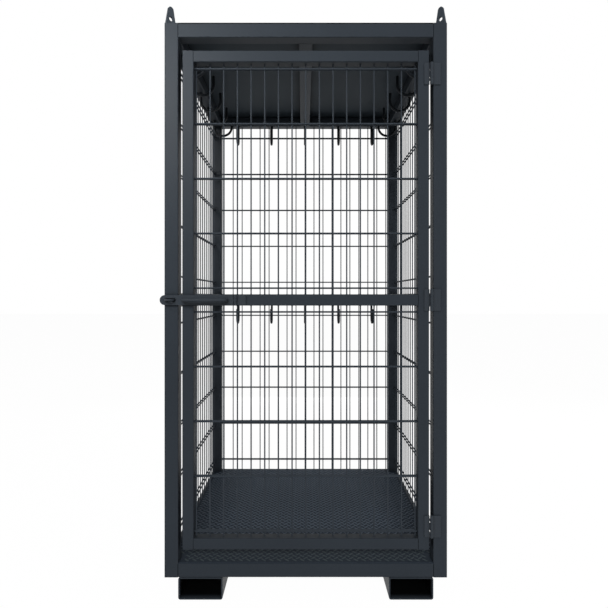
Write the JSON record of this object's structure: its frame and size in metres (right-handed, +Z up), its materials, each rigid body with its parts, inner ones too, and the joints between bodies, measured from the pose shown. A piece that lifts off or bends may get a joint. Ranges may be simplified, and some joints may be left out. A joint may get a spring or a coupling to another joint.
{
  "type": "storage cage",
  "caption": "Tall steel mesh storage cage with a hinged mesh door and hasp, sheet roof, plate floor, fork pockets below, lifting lugs on top and rows of hooks inside.",
  "frame": {"origin": "on the ground, under the middle of the cage", "axes": "+Z up, +Y from the door towards the rear, +X to the right as the door is faced"},
  "size_m": [1.034, 1.064, 2.147],
  "materials": {
    "frame_coat": "satin anthracite powder coat",
    "mesh_coat": "satin anthracite powder coat",
    "sheet_coat": "satin anthracite powder coat",
    "floor_coat": "satin anthracite powder coat on tread plate",
    "lifting_coat": "satin anthracite powder coat",
    "fitting_coat": "satin anthracite powder coat"
  },
  "bodies": {
    "frame": {"post_front_left": "frame_coat", "post_front_right": "frame_coat", "post_rear_left": "frame_coat", "post_rear_right": "frame_coat", "top_rail_front": "frame_coat", "top_rail_rear": "frame_coat", "top_rail_left": "frame_coat", "top_rail_right": "frame_coat", "door_sill": "frame_coat", "bottom_rail_rear": "frame_coat", "bottom_rail_left": "frame_coat", "bottom_rail_right": "frame_coat", "mid_rail_rear": "frame_coat", "mid_rail_left": "frame_coat", "mid_rail_right": "frame_coat", "roof_beam": "frame_coat", "roof_sheet": "sheet_coat", "floor_plate": "floor_coat", "floor_bearers": "floor_coat", "fork_pocket_left": "lifting_coat", "fork_pocket_right": "lifting_coat", "lifting_lugs": "lifting_coat", "mesh_rear_lower": "mesh_coat", "mesh_rear_upper": "mesh_coat", "mesh_left_lower": "mesh_coat", "mesh_left_upper": "mesh_coat", "mesh_right_lower": "mesh_coat", "mesh_right_upper": "mesh_coat", "side_hooks_left": "fitting_coat", "side_hooks_right": "fitting_coat", "rear_hooks_upper": "fitting_coat", "rear_hooks_lower": "fitting_coat", "hinge_post_leaves": "fitting_coat", "hasp_staple": "fitting_coat"},
    "door": {"door_stile_latch": "frame_coat", "door_stile_hinge": "frame_coat", "door_top_rail": "frame_coat", "door_mid_rail": "frame_coat", "door_bottom_rail": "frame_coat", "door_mesh_lower": "mesh_coat", "door_mesh_upper": "mesh_coat", "hinge_door_leaves": "fitting_coat", "hasp_base": "fitting_coat"},
    "hasp": {"hasp_plate": "fitting_coat", "hasp_handle": "fitting_coat"}
  },
  "joints": [
    {"name": "door_hinge", "type": "hinge", "parent": "frame", "child": "door", "pos_m": [0.4525, -0.516, 1.08], "axis": [0, 0, 1], "range_deg": [0, 170]},
    {"name": "hasp_hinge", "type": "hinge", "parent": "door", "child": "hasp", "pos_m": [-0.253, -0.5175, 1.08], "axis": [0, 0, 1], "range_deg": [0, 120]}
  ]
}
